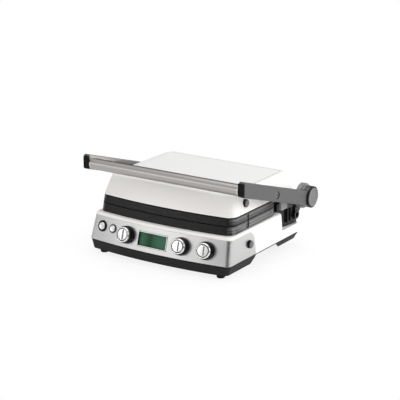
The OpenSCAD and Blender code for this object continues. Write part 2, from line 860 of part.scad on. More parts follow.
// Side view of a hinge bracket: from the screw boss in the notch up to the pin's boss
module bracket_view() {
    boss_r = 19;
    arm_low = tower_top - 12;
    hull() {
        translate([hinge_y, hinge_z]) circle(r = boss_r);
        translate([screw_y, screw_z + 4]) circle(r = screw_boss_r - 2);
    }
    polygon([[rib_y - 12, arm_low], [rib_y - 12, tower_top], [hinge_y, tower_top], [hinge_y, arm_low]]);
}

screw_y = housing_rear - 10.7;
screw_z = notch_z + 20;
screw_boss_r = 10;
tower_top = upper_plate_z - 1.5;
notch_d = housing_rear - notch_y;
rib_y = notch_y + 0.416 * notch_d;
rib_pitch = 0.175 * notch_d;

// Black block that stands in the housing's notch, ribbed on its outside
module hinge_tower() {
    ribs = 3;
    rib_t = 2.4;
    block_x = notch_x + gap;
    rib_x = bracket_x + 1;
    rear = housing_rear - rear_lean - 1;
    difference() {
        union() {
            translate([0, 0, notch_z]) linear_extrude(tower_top - notch_z)
                polygon([[block_x, notch_y + gap], [block_x + 4, notch_y + gap],
                    [bracket_x, rear - 12], [bracket_x, rear], [block_x, rear]]);
            for (i = [0 : ribs - 1])
                box([block_x + 4, rib_y + i * rib_pitch, notch_z + 9],
                    [rib_x, rib_y + i * rib_pitch + rib_t, tower_top - 3]);
            box([block_x + 4, rib_y, notch_z + 9], [rib_x - 3, rib_y + 2 * rib_pitch, notch_z + 12]);
            rod_x(block_x + 4, drum_x + 1, screw_y, screw_z, screw_boss_r);
            translate([bracket_x, 0, 0]) rotate([90, 0, 90]) linear_extrude(bracket_t) bracket_view();
        }
        rod_x(drum_x - 8, drum_x + 2, screw_y, screw_z, 5.5);
        rod_x(bracket_x - eps, drum_x + eps, hinge_y, hinge_z, pin_r + run_gap);
    }
}

module hinge_tower_right() color("black") place() hinge_tower();
module hinge_tower_left() color("black") place() mirror([1, 0, 0]) hinge_tower();

module hinge_drum() {
    difference() {
        union() {
            rod_x(drum_x, arm_x - gap - 1.5, hinge_y, hinge_z, drum_r);
            rod_x(drum_x, arm_x - gap, hinge_y, hinge_z, drum_r - 2);
        }
        rod_x(drum_x - eps, arm_x + eps, hinge_y, hinge_z, pin_r + run_gap);
    }
}

module hinge_drum_right() color("silver") place() hinge_drum();
module hinge_drum_left() color("silver") place() mirror([1, 0, 0]) hinge_drum();

module hinge_pins() color("gray") place() both_sides() union() {
    rod_x(bracket_x - 2, arm_out - 1, hinge_y, hinge_z, pin_r);
    rod_x(bracket_x - 3, bracket_x, hinge_y, hinge_z, pin_r + 3);
}

// ---------------------------------------------------------------- supply and tray

gland_x = 55 - base_w / 2;
gland_z = foot_z + 34;
gland_r = 8;

module terminal_block() color("ivory") place() {
    terminal_x = -(tray_w / 2 + base_w / 2 - pan_tub - pan_wall) / 2;
    translate([terminal_x, housing_rear - 62, 0]) union() {
        box([-16, -8, pan_z + pan_t], [16, 8, pan_z + pan_t + 4]);
        box([-14, -6, pan_z + pan_t + 3], [14, 6, pan_z + pan_t + 16]);
    }
}

module cord_gland() color("black") place() translate([gland_x, housing_rear, gland_z])
    rotate([90, 0, 0]) difference() {
    union() {
        translate([0, 0, -4]) cylinder(r1 = gland_r - 1, r2 = gland_r + 2,
            h = 4 - gap + rear_lean * (gland_z - foot_z) / panel_h);
        cylinder(r = gland_r - 0.2, h = wall + rear_lean + 5);
    }
    translate([0, 0, -5]) cylinder(r = 4, h = 24);
}

module drip_tray() color("black") place() {
    half = tray_w / 2;
    difference() {
        union() {
            box([-half, tray_front, tray_z], [half, housing_rear - 1, tray_top]);
            box([-half, housing_rear - 4, foot_z + gap],
                [half, housing_rear - 4 + fascia_t, tray_top + 0.8]);
        }
        box([2 - half, tray_front + 2, tray_z + 2], [half - 2, housing_rear - 6, tray_top + eps]);
        translate([0, housing_rear - 1, tray_z + 6]) rotate([0, 90, 0])
            cylinder(r = 3, h = 60, center = true);
    }
}

// ---------------------------------------------------------------- plate release

// Round button through the side, with a stem and a hook inside
module release_button(face_x, y, z, stem) {
    union() {
        rod_x(face_x - 1 - skin, face_x, y, z, release_r - 1);
        rod_x(face_x - 9, face_x - 1, y, z, release_r);
        rod_x(face_x - 9 - stem, face_x - 9 + skin, y, z, 3);
    }
}

base_release_x = base_w / 2 - side_lean * (base_release_z - foot_z) / panel_h + release_h;
lid_release_z = lid_z + 20;
lid_release_y = release_y + 2;
lid_release_x = lid_w / 2 - lid_side_lean * (lid_release_z - lid_z) / lid_knee + release_h;

module lower_release_button() color("dimgray") place()
    release_button(base_release_x, release_y, base_release_z, 16);
module upper_release_button() color("dimgray") place()
    release_button(lid_release_x, lid_release_y, lid_release_z, 4);

// ---------------------------------------------------------------- arms and handle

// Side view of an arm: straight bar, round hub and the blends between them
module arm_view(inset) {
    blend = 14;
    half = arm_h / 2 - inset;
    front = nose_y + nose_t + inset;
    rear = hinge_y - 10;
    round = 4;
    offset(r = -blend) offset(delta = blend) offset(r = round) offset(delta = -round) union() {
        translate([hinge_y, hinge_z]) circle(r = hub_r - inset);
        polygon([for (c = [[front, half], [front, -half], [rear, -half], [rear, half]]) [c[0],
            arm_line(c[0]) + c[1]]]);
    }
}

module arm_slab(x0, x1, inset) {
    translate([x0, 0, 0]) rotate([90, 0, 90]) linear_extrude(x1 - x0) arm_view(inset);
}

module arm() {
    recess_r = 8.2;
    difference() {
        arm_slab(arm_x + liner_t, arm_out, 0);
        rod_x(arm_x, arm_out - 0.6, hinge_y, hinge_z, pin_r + run_gap);
        rod_x(arm_x, arm_out + eps, pivot_y, pivot_z, pivot_r + gap);
        rod_x(arm_out - 5, arm_out + eps, pivot_y, pivot_z, recess_r);
    }
}

module arm_right() color("gray") place() arm();
module arm_left() color("gray") place() mirror([1, 0, 0]) arm();

module arm_liner() {
    difference() {
        arm_slab(arm_x, arm_x + liner_t, 0.6);
        rod_x(arm_x - eps, arm_out, hinge_y, hinge_z, pin_r + run_gap);
        rod_x(arm_x - eps, arm_out, pivot_y, pivot_z, pivot_r + gap);
    }
}

module arm_liner_right() color("lightgray") place() difference() {
    arm_liner();
    rod_x(arm_x - eps, arm_out, lever_y, lever_z, lever_pin_r + gap / 2);
}
module arm_liner_left() color("lightgray") place() mirror([1, 0, 0]) arm_liner();

// Black insert in the front end of an arm
module nose_cap() {
    r = 3;
    low = nose_z - arm_h / 2 + 0.5;
    high = nose_z + arm_h / 2 - 4.5;
    translate([arm_x + 0.4, nose_y, (low + high) / 2]) rotate([-90, 0, 0])
        translate([(arm_t - 0.8) / 2, 0, 0])
        pad(arm_t - 0.8, high - low, nose_t, r);
}

module nose_cap_right() color("black") place() nose_cap();
module nose_cap_left() color("black") place() mirror([1, 0, 0]) nose_cap();

tube_t = 1.5;

module handle_tube() color("silver") place() difference() {
    rod_x(-arm_x, arm_x, tube_y, tube_z, tube_r);
    rod_x(-arm_x - eps, arm_x + eps, tube_y, tube_z, tube_r - tube_t);
}

// Plugs that close the tube's ends and screw to the arms
module handle_plugs() color("dimgray") place() both_sides() difference() {
    rod_x(arm_x - 14, arm_x, tube_y, tube_z, tube_r - tube_t - gap / 2);
    rod_x(arm_x - 15, arm_x + eps, tube_y, tube_z, 2);
}

module hub_rings() color("black") place() both_sides()
    rod_x(arm_out, arm_out + hub_ring_t, hinge_y, hinge_z, hub_r);

module hub_disc() {
    x0 = arm_out + hub_ring_t;
    translate([x0, hinge_y, hinge_z]) rotate([0, 90, 0]) union() {
        cylinder(r = hub_disc_r, h = hub_disc_t - 0.8);
        translate([0, 0, hub_disc_t - 0.8 - skin])
            cylinder(r1 = hub_disc_r, r2 = hub_disc_r - 0.8, h = 0.8 + skin);
    }
}

module hub_disc_right() color("silver") place() hub_disc();
module hub_disc_left() color("silver") place() mirror([1, 0, 0]) hub_disc();

boss_in = lid_w / 2 - 12;

module lid_pivot_screws() color("gray") place() both_sides() difference() {
    union() {
        rod_x(boss_in + 4, arm_out - 5, pivot_y, pivot_z, pivot_r);
        rod_x(arm_out - 5, arm_out - 2, pivot_y, pivot_z, 7);
    }
    rod_x(arm_out - 3.5, arm_out, pivot_y, pivot_z, 2.5);
}

// Thumb lever under the right arm that frees the hinge for opening flat
lever_y = hinge_y - 92.5;
lever_z = arm_line(lever_y) - 13.5;
lever_t = 5;
lever_pin_r = 2.5;

module hinge_release_lever() color("lightgray") place() {
    x0 = arm_x - gap - lever_t;
    difference() {
        translate([x0, 0, 0]) rotate([90, 0, 90]) linear_extrude(lever_t) union() {
            translate([lever_y, lever_z]) circle(r = 13);
            translate([lever_y - 13, lever_z - 10]) square([26, 10]);
            translate([lever_y - 9, lever_z - 19]) square([18, 19]);
            for (y = [-9, 9])
                translate([lever_y + y, lever_z - 10]) intersection() {
                    circle(r = 9);
                    square([8, 18], center = true);
                }
        }
        rod_x(x0 - eps, arm_x, lever_y, lever_z, lever_pin_r + run_gap);
    }
}

module release_lever_pin() color("gray") place() union() {
    rod_x(arm_x - 2 * gap - lever_t - skin, arm_x + liner_t, lever_y, lever_z, lever_pin_r);
    rod_x(arm_x - 2 * gap - lever_t - 1.5, arm_x - 2 * gap - lever_t, lever_y, lever_z, lever_pin_r + 2);
}

// ---------------------------------------------------------------- lid

// The lid's form drawn in by a distance: steep sides, a soft shoulder and a nearly flat top
module lid_form(inset, low) {
    knee_z = lid_z + lid_knee;
    knee_w = lid_w - 2 * lid_side_lean;
    share = (low - lid_z) / lid_knee;
    hull() {
        slice(low, outline(lid_w - 2 * (inset + lid_side_lean * share),
            lid_front + inset + lid_front_lean * share, lid_rear - inset - lid_rear_lean * share,
            lid_r - inset, lid_r - inset));
        for (k = [0, 1, 2]) let (drop = [0, 4.3, shoulder][k],
            draw = inset + [0, 2.6, 6.4][k]) slice(knee_z + drop - inset - skin,
            outline(knee_w - 2 * draw, lid_front + lid_front_lean + draw,
            lid_rear - lid_rear_lean - draw, lid_r - inset, lid_r - inset));
    }
}

module lid_shell() color("white") place() difference() {
    lid_form(0, lid_z);
    lid_form(wall, lid_z - eps);
    both_sides() rod_x(boss_in - eps, arm_x, pivot_y, pivot_z, boss_r + gap / 2);
    rod_x(boss_in - eps, arm_x, lid_release_y, lid_release_z, release_r + gap);
    block(lid_top - top_plate_t, lid_top + eps, top_plate_w + 1.4, top_plate_front - 0.7,
        top_plate_rear + 0.7, 6.7, 6.7);
}

module lid_top_plate() color("gainsboro") place()
    block(lid_top - top_plate_t, lid_top, top_plate_w, top_plate_front, top_plate_rear, 6, 6);

boss_r = 10;

module lid_pivot_bosses() color("black") place() both_sides() difference() {
    rod_x(boss_in, arm_x - gap, pivot_y, pivot_z, boss_r);
    rod_x(boss_in + 3, arm_x + eps, pivot_y, pivot_z, pivot_r + run_gap);
}

frame_t = 4;

// Black frame that closes the lid from below and carries the upper plate
module lid_frame() color("black") place() {
    inset = wall + 1.5;
    half = base_w / 2 - 25;
    rear_z = deck_z + 15;
    difference() {
        union() {
            block(upper_plate_top, upper_plate_top + frame_t, lid_w - 2 * inset, lid_front + inset,
                lid_rear - inset, lid_r - inset, lid_r - inset);
            box([-half, plate_rear + gap + 1, rear_z + 3],
                [half, lid_rear - inset - 1, upper_plate_top + skin]);
            both_sides() box([boss_in + gap, pivot_y - 8, upper_plate_top + frame_t - skin],
                [boss_in + 3.8, pivot_y + 8, pivot_z - boss_r + 1]);
        }
        block(upper_plate_top - eps, upper_plate_top + frame_t + eps, well_w, well_front, well_rear,
            plate_corner, plate_corner);
        box([3 - half, plate_rear + gap + 4, rear_z + 6],
            [half - 3, lid_rear - inset - 4, upper_plate_top + frame_t + eps]);
        both_sides() rod_x(boss_in - eps, arm_x, pivot_y, pivot_z, boss_r);
    }
}

upper_floor = upper_plate_z + ridge_h + ridge_gap;

module upper_plate() color("darkslategray") place() union() {
    difference() {
        plate_form(upper_plate_z, upper_plate_top, plate_lean + 0.5, plate_lean + 5);
        plate_hollow(upper_plate_z - eps, upper_floor, plate_rim);
        plate_hollow(upper_floor + floor_t, upper_plate_top + eps, plate_rim + 3);
        plate_slots();
    }
    for (i = [0 : ridges - 1])
        ridge((i - (ridges - 1) / 2) * ridge_pitch, ridge_front, ridge_rear, upper_floor + skin,
            upper_plate_z + ridge_gap);
}

upper_mouth = upper_plate_top + frame_t;
upper_element_z = upper_mouth + 3.5;

module upper_reflector() color("lightgray") place() {
    union() {
        difference() {
            reflector(upper_mouth, 1);
            both_sides() box([boss_in, pivot_y - 9, upper_mouth - eps],
                [lid_w / 2, pivot_y + 9, upper_mouth + 2]);
        }
        both_sides() for (y = [well_front + clip_y, well_rear - clip_y])
            box([clip_low, y - clip_w / 2, upper_element_z + element_r + gap],
                [clip_low + clip_l, y + clip_w / 2, upper_mouth + reflector_deep - reflector_t + skin]);
    }
}

module upper_element() color("gray") place()
    element(upper_element_z, upper_element_z, upper_mouth + reflector_deep + 8);

module upper_thermostat() color("goldenrod") place() {
    low = upper_floor + floor_t + gap;
    translate([0, (well_front + well_rear) / 2, 0]) union() {
        translate([0, 0, upper_mouth + reflector_deep]) cylinder(r = stat_r + 3, h = 8);
        translate([0, 0, low]) cylinder(r = stat_r, h = upper_mouth + reflector_deep - low + skin);
    }
}

base_housing();
control_panel();
base_pan();
front_skirt();
rear_skirt();
rubber_feet();
housing_screws();
screen_bezel();
screen_window();
display_module();
control_board();
dial_encoders();
power_button_ring();
select_button_ring();
button_switches();
lower_plate();
lower_element();
lower_reflector();
lower_thermostat();
rear_bridge();
hinge_tower_left();
hinge_tower_right();
hinge_drum_left();
hinge_drum_right();
hinge_pins();
terminal_block();
cord_gland();
drip_tray();
dial_left_skirt();
dial_left_cap();
dial_middle_skirt();
dial_middle_cap();
dial_right_skirt();
dial_right_cap();
power_button();
select_button();
lower_release_button();
upper_release_button();
arm_left();
arm_right();
arm_liner_left();
arm_liner_right();
nose_cap_left();
nose_cap_right();
handle_tube();
handle_plugs();
hub_rings();
hub_disc_left();
hub_disc_right();
lid_pivot_screws();
hinge_release_lever();
release_lever_pin();
lid_shell();
lid_top_plate();
lid_frame();
lid_pivot_bosses();
upper_plate();
upper_element();
upper_reflector();
upper_thermostat();
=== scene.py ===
import bpy
import bmesh
import json
import math
from mathutils import Matrix, Vector

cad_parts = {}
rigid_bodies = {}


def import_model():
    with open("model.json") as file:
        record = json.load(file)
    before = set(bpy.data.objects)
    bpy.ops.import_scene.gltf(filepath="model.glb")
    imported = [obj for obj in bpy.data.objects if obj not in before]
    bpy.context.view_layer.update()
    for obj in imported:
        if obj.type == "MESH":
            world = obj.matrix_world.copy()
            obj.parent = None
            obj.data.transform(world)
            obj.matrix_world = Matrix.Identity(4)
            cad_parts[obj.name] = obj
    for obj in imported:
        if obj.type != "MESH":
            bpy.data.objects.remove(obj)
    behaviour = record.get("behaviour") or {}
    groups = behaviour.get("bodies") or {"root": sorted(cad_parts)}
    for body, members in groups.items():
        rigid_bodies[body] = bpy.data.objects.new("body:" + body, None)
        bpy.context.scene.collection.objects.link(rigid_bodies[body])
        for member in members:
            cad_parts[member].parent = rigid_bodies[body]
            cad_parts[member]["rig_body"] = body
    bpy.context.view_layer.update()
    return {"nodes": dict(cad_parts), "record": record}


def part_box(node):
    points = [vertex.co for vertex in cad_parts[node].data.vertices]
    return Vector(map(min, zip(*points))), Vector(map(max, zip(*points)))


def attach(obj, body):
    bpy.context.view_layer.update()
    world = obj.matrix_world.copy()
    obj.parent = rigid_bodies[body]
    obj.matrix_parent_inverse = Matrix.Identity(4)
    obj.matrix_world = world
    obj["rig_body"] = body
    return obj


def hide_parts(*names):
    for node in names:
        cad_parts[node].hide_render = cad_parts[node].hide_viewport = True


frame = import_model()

# Camera: a long lens a good three metres away, turned a third of the way round to the
# grill's right side and a little above the worktop.
CAM_TURN = math.radians(33.211)
CAM_RISE = math.radians(17.024)
CAM_AWAY = 3.0676
CAM_AIM = Vector((0.00583, 0.00586, 0.10739))
FILM = 36
FRAME_PIXELS = 400
LENS_PIXELS = 1395.16
cam_back = Vector((math.sin(CAM_TURN) * math.cos(CAM_RISE),
                   -math.cos(CAM_TURN) * math.cos(CAM_RISE),
                   math.sin(CAM_RISE)))
bpy.ops.object.camera_add(location=CAM_AIM + cam_back * CAM_AWAY)
camera = bpy.context.object
camera.name = "camera"
camera.rotation_euler = cam_back.to_track_quat("Z", "Y").to_euler()
camera.data.sensor_width = FILM
camera.data.lens = LENS_PIXELS * FILM / FRAME_PIXELS
camera.data.clip_end = 50
bpy.context.scene.camera = camera

# Studio: a white worktop that keeps the shadows, four soft lamps and a pale room, which
# looks white to the camera. Glossy surfaces also see two darker patches of the room, and
# all others get a slightly warm light from the front left.
bpy.context.scene.view_settings.view_transform = "Standard"


class Sock:
    """A socket that ordinary arithmetic can be written with."""

    def __init__(self, tree, out):
        self.tree = tree
        self.out = out

    def maths(self, operation, *values):
        return shade(self.tree, "ShaderNodeMath", {"operation": operation}, dict(enumerate(values)))

    def __add__(self, other):
        return self.maths("ADD", self, other)

    def __radd__(self, other):
        return self.maths("ADD", other, self)

    def __sub__(self, other):
        return self.maths("SUBTRACT", self, other)

    def __rsub__(self, other):
        return self.maths("SUBTRACT", other, self)

    def __mul__(self, other):
        return self.maths("MULTIPLY", self, other)

    def __rmul__(self, other):
        return self.maths("MULTIPLY", other, self)

    def __truediv__(self, other):
        return self.maths("DIVIDE", self, other)

    def __rtruediv__(self, other):
        return self.maths("DIVIDE", other, self)


def shade(tree, kind, settings=None, inputs=None, output=0):
    """Adds a node of that kind, with its settings first and then its sockets' values or links."""
    node = tree.nodes.new(kind)
    for key, value in (settings or {}).items():
        setattr(node, key, value)
    for key, value in (inputs or {}).items():
        if isinstance(value, Sock):
            tree.links.new(value.out, node.inputs[key])
        elif isinstance(value, tuple) and node.inputs[key].type == "RGBA":
            node.inputs[key].default_value = (*value, 1)
        else:
            node.inputs[key].default_value = value
    return Sock(tree, node.outputs[output]) if len(node.outputs) else node


def mixed(tree, share, first, second):
    """A colour that goes from the first to the second as the share goes from 0 to 1."""
    return shade(tree, "ShaderNodeMix", {"data_type": "RGBA"},
                 {"Factor": share, "A": first, "B": second}, "Result")


def rising(tree, value, start, full):
    """0 up to the start, 1 from full on, and a smooth rise between them."""
    return shade(tree, "ShaderNodeMapRange", {"interpolation_type": "SMOOTHSTEP"},
                 {"Value": value, "From Min": start, "From Max": full})


def blank_tree(holder):
    """The emptied node tree of a material or a world."""
    holder.use_nodes = True
    holder.node_tree.nodes.clear()
    return holder.node_tree


WHITE = (1, 1, 1)
SHADOW_REACH = (0.2, 0.34)
bpy.ops.mesh.primitive_plane_add(size=14, location=(0, 0, 0))
worktop = bpy.context.object
worktop.name = "worktop"
worktop_paint = bpy.data.materials.new("white worktop")
tree = blank_tree(worktop_paint)
seen = shade(tree, "ShaderNodeLightPath", output="Is Camera Ray")
mottle = shade(tree, "ShaderNodeTexNoise", {}, {"Scale": 3.0, "Detail": 2.0})
paper = shade(tree, "ShaderNodeBsdfPrincipled", {}, {
    "Base Color": (0.9, 0.9, 0.9), "Roughness": mottle * 0.05 + 0.75, "Specular IOR Level": 0.1})
glow = shade(tree, "ShaderNodeEmission", {}, {"Color": WHITE, "Strength": 1.0})
ground = shade(tree, "ShaderNodeTexCoord", output="Object")
reach = shade(tree, "ShaderNodeVectorMath", {"operation": "LENGTH"}, {0: ground}, "Value")
fade = rising(tree, reach, *SHADOW_REACH)
lit = shade(tree, "ShaderNodeMixShader", {}, {0: fade * 0.15 + 0.85, 1: paper, 2: glow})
surface = shade(tree, "ShaderNodeMixShader", {}, {0: seen, 1: paper, 2: lit})
shade(tree, "ShaderNodeOutputMaterial", {}, {"Surface": surface})
worktop.data.materials.append(worktop_paint)

room = bpy.data.worlds.new("pale room")
bpy.context.scene.world = room
room_tree = blank_tree(room)
seen = shade(room_tree, "ShaderNodeLightPath", output="Is Camera Ray")
polished = shade(room_tree, "ShaderNodeLightPath", output="Is Glossy Ray")
facing = shade(room_tree, "ShaderNodeTexCoord", output="Generated")
height = shade(room_tree, "ShaderNodeSeparateXYZ", {}, {0: facing}, "Z")


def toward(x, y, z, edge, full):
    """How nearly a direction of the room points at x, y, z: 0 past the edge, 1 from full on."""
    nearness = shade(room_tree, "ShaderNodeVectorMath", {"operation": "DOT_PRODUCT"},
                     {0: facing, 1: Vector((x, y, z)).normalized()}, "Value")
    return rising(room_tree, nearness, edge, full)


doorway = toward(0.85, -0.5, 0.1, 0.5, 0.8)
far_wall = toward(-0.55, 0.78, 0.3, 0.8, 0.96)
warm_wall = toward(-0.5, -0.85, 0.1, 0.2, 0.9)
strength = 0.56 + height * 0.3 - (doorway + far_wall) * polished * 0.6
wall = mixed(room_tree, warm_wall * (1 - polished), (1.0, 0.99, 0.985), (1.0, 0.95, 0.925))
dim = shade(room_tree, "ShaderNodeBackground", {}, {"Color": wall, "Strength": strength})
bright = shade(room_tree, "ShaderNodeBackground", {}, {"Color": WHITE, "Strength": 1.0})
view = shade(room_tree, "ShaderNodeMixShader", {}, {0: seen, 1: dim, 2: bright})
shade(room_tree, "ShaderNodeOutputWorld", {}, {"Surface": view})


LAMP_AIM = Vector((0, 0, 0.1))


def soft_lamp(name, place, size, power):
    """A wide lamp that shines at the middle of the grill."""
    bpy.ops.object.light_add(type="AREA", location=place)
    lamp = bpy.context.object
    lamp.name = name
    lamp.data.shape = "RECTANGLE"
    lamp.data.size, lamp.data.size_y = size
    lamp.data.energy = power
    lamp.rotation_euler = (Vector(place) - LAMP_AIM).to_track_quat("Z", "Y").to_euler()


soft_lamp("top_lamp", (0.0, 0.1, 2.2), (1.8, 1.6), 17)
soft_lamp("rear_lamp", (1.25, 1.55, 0.65), (1.2, 0.9), 12)
soft_lamp("side_lamp", (2.2, -0.1, 1.0), (1.2, 1.2), 16)
soft_lamp("front_lamp", (-1.3, -2.1, 0.75), (1.3, 0.8), 5)

# Housing: the white base, a hollow shell that tapers upwards to a rounded rim. It is moulded
# in glossy plastic with the faintest orange peel.
SHARP = 40
FLAT = math.radians(0.3)
TINY = 0.00001
slot_of = {part["node"]: part["material_slot"] for part in frame["record"]["subparts"]}


def finish(name, colour, roughness, metallic=0.0, spread=0.04, grain=400, bump=0.02,
           stretch=(1, 1, 1), tint=0.06, shine=0.5):
    """A finish with its own fine grain in colour, gloss and relief."""
    material = bpy.data.materials.new(name)
    tree = blank_tree(material)
    spot = shade(tree, "ShaderNodeTexCoord", output="Object")
    place = shade(tree, "ShaderNodeMapping", {"vector_type": "POINT"}, {"Vector": spot, "Scale": stretch})
    fine = shade(tree, "ShaderNodeTexNoise", {}, {"Vector": place, "Scale": grain, "Detail": 3.0})
    broad = shade(tree, "ShaderNodeTexNoise", {}, {"Vector": place, "Scale": grain / 20, "Detail": 2.0})
    dark = tuple(c * (1 - tint) for c in colour)
    hue = mixed(tree, broad * 0.5 + fine * 0.5, dark, colour)
    relief = shade(tree, "ShaderNodeBump", {}, {"Strength": bump, "Distance": 0.001, "Height": fine})
    body = shade(tree, "ShaderNodeBsdfPrincipled", {}, {
        "Base Color": hue, "Roughness": fine * spread + (roughness - spread / 2),
        "Metallic": metallic, "Specular IOR Level": shine, "Normal": relief})
    shade(tree, "ShaderNodeOutputMaterial", {}, {"Surface": body})
    return material


def hand_over(piece, material, node):
    """Gives a piece its finish, lets it ride with a node's body and stand for the node."""
    piece.data.materials.clear()
    piece.data.materials.append(material)
    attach(piece, frame["nodes"][node]["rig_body"])
    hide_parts(node)


def pick(piece):
    """Selects one piece alone and makes it the one that operators work on."""
    bpy.ops.object.select_all(action="DESELECT")
    bpy.context.view_layer.objects.active = piece
    piece.select_set(True)


def smooth(piece, sharp=SHARP):
    """Smooth curves and flat faces, with the edges past that angle kept sharp."""
    pick(piece)
    bpy.ops.object.shade_smooth_by_angle(angle=math.radians(sharp))
    flats = piece.modifiers.new("flats", "WEIGHTED_NORMAL")
    flats.keep_sharp = True
    bpy.ops.object.modifier_apply(modifier="flats")
    return piece


def dressed(node, edge, rounds=2, split=False):
    """A copy of a CAD node with softened edges. A shell with many holes is split into
    triangles first, so that its edges round cleanly."""
    piece = bpy.data.objects.new(node + "_dressed", frame["nodes"][node].data.copy())
    bpy.context.scene.collection.objects.link(piece)
    pick(piece)
    bpy.ops.object.mode_set(mode="EDIT")
    bpy.ops.mesh.select_all(action="SELECT")
    bpy.ops.mesh.remove_doubles(threshold=TINY)
    bpy.ops.mesh.dissolve_limited(angle_limit=FLAT)
    if split:
        bpy.ops.mesh.quads_convert_to_tris(quad_method="BEAUTY", ngon_method="BEAUTY")
    bpy.ops.object.mode_set(mode="OBJECT")
    bevel = piece.modifiers.new("edges", "BEVEL")
    bevel.width = edge
    bevel.segments = rounds
    bevel.angle_limit = math.radians(SHARP)
    bevel.use_clamp_overlap = False
    bpy.ops.object.modifier_apply(modifier="edges")
    return smooth(piece)


white = finish("white enamel", (0.86, 0.855, 0.84), 0.3, spread=0.05, bump=0.01, tint=0.02)
hand_over(dressed("base_housing", 0.0006, split=True), white, "base_housing")

# Control panel: one brushed steel sheet bent round the front corners, with holes for the
# controls. Its grain runs along the sheet.
steel = finish("brushed steel", (0.6, 0.6, 0.6), 0.32, metallic=1.0, spread=0.14, grain=900, bump=0.06,
               stretch=(0.02, 0.02, 1), tint=0.12)
hand_over(dressed("control_panel", 0.0003), steel, "control_panel")

# Black skirts and pan: the tub that closes the base and the two slanting bands under the
# housing, moulded in satin black plastic.
black = finish("black plastic", (0.008, 0.008, 0.0085), 0.42, spread=0.1, bump=0.05, shine=0.25)
for node in ("base_pan", "front_skirt", "rear_skirt"):
    hand_over(dressed(node, 0.0006, split=True), black, node)

# Pan screws: four plain steel screws with a cross recess, which hold the pan from below.
# Each is turned in one piece with its shank.
HEAD_R = 0.0035
RECESS_LONG = 0.0042
RECESS_WIDE = 0.000945
RECESS_DEEP = 0.0009


def turned(name, profile, sides=64, ring=False):
    """A turned piece: a circle drawn out along Z through the radii and heights of its profile."""
    first_r, first_z = profile[0]
    bpy.ops.object.select_all(action="DESELECT")
    bpy.ops.mesh.primitive_circle_add(vertices=sides, radius=first_r, location=(0, 0, first_z),
                                      fill_type="NOTHING" if ring else "NGON")
    piece = bpy.context.object
    piece.name = piece.data.name = name
    bpy.ops.object.transform_apply(location=True, rotation=True, scale=True)
    bpy.ops.object.mode_set(mode="EDIT")
    bpy.ops.mesh.select_mode(type="VERT")
    bpy.ops.mesh.select_all(action="SELECT")
    draw_out = bpy.ops.mesh.extrude_edges_move if ring else bpy.ops.mesh.extrude_region_move
    for (r0, z0), (r1, z1) in zip(profile, profile[1:]):
        draw_out(TRANSFORM_OT_translate={"value": (0, 0, z1 - z0)})
        bpy.ops.transform.resize(value=(r1 / r0, r1 / r0, 1), center_override=(0, 0, 0))
    bpy.ops.mesh.select_all(action="SELECT")
    bpy.ops.mesh.remove_doubles(threshold=0.000002)
    bpy.ops.mesh.normals_make_consistent(inside=False)
    bpy.ops.object.mode_set(mode="OBJECT")
    return piece


def copy_to(piece, name, place):
    """A copy with its own mesh, put in place."""
    twin = bpy.data.objects.new(name, piece.data.copy())
    bpy.context.scene.collection.objects.link(twin)
    twin.data.transform(place)
    return twin


def drop(piece):
    """Takes a pattern or a cutting tool away."""
    bpy.data.objects.remove(piece)


def joined(pieces, name):
    """Several pieces made one."""
    bpy.ops.object.select_all(action="DESELECT")
    for piece in pieces:
        piece.select_set(True)
    bpy.context.view_layer.objects.active = pieces[0]
    bpy.ops.object.join()
    pieces[0].name = pieces[0].data.name = name
    return pieces[0]


def set_out(pattern, name, places):
    """Copies of a pattern at all the places, made one piece."""
    copies = [copy_to(pattern, pattern.name, Matrix.Translation(place)) for place in places]
    drop(pattern)
    return joined(copies, name)


def block(name, size, middle):
    """A block of that size round its middle."""
    bpy.ops.object.select_all(action="DESELECT")
    bpy.ops.mesh.primitive_cube_add(size=1, location=middle)
    piece = bpy.context.object
    piece.name = piece.data.name = name
    piece.scale = size
    bpy.ops.object.transform_apply(location=True, rotation=True, scale=True)
    return piece


def cut_out(piece, tool):
    """Cuts the shape of a tool out of a piece."""
    pick(piece)
    cut = piece.modifiers.new("cut", "BOOLEAN")
    cut.operation = "DIFFERENCE"
    cut.solver = "EXACT"
    cut.object = tool
    bpy.context.view_layer.update()
    bpy.ops.object.modifier_apply(modifier="cut")
    drop(tool)


bright_screw = finish("plain steel", (0.5, 0.5, 0.5), 0.35, metallic=1.0)
low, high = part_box("housing_screws")
head = turned("pan_screw", [(0.0030, 0.0), (0.0034, 0.0003), (HEAD_R, 0.0019), (0.0015, 0.0020),
                            (0.0014, high.z - low.z)], 32)
for x, y in ((RECESS_LONG, RECESS_WIDE), (RECESS_WIDE, RECESS_LONG)):
    cut_out(head, block("blade", (x, y, RECESS_DEEP * 2), (0, 0, 0)))
places = [(x, y, low.z) for x in (low.x + HEAD_R, high.x - HEAD_R) for y in (low.y + HEAD_R, high.y - HEAD_R)]
hand_over(set_out(smooth(head), "pan_screws", places), bright_screw, "housing_screws")

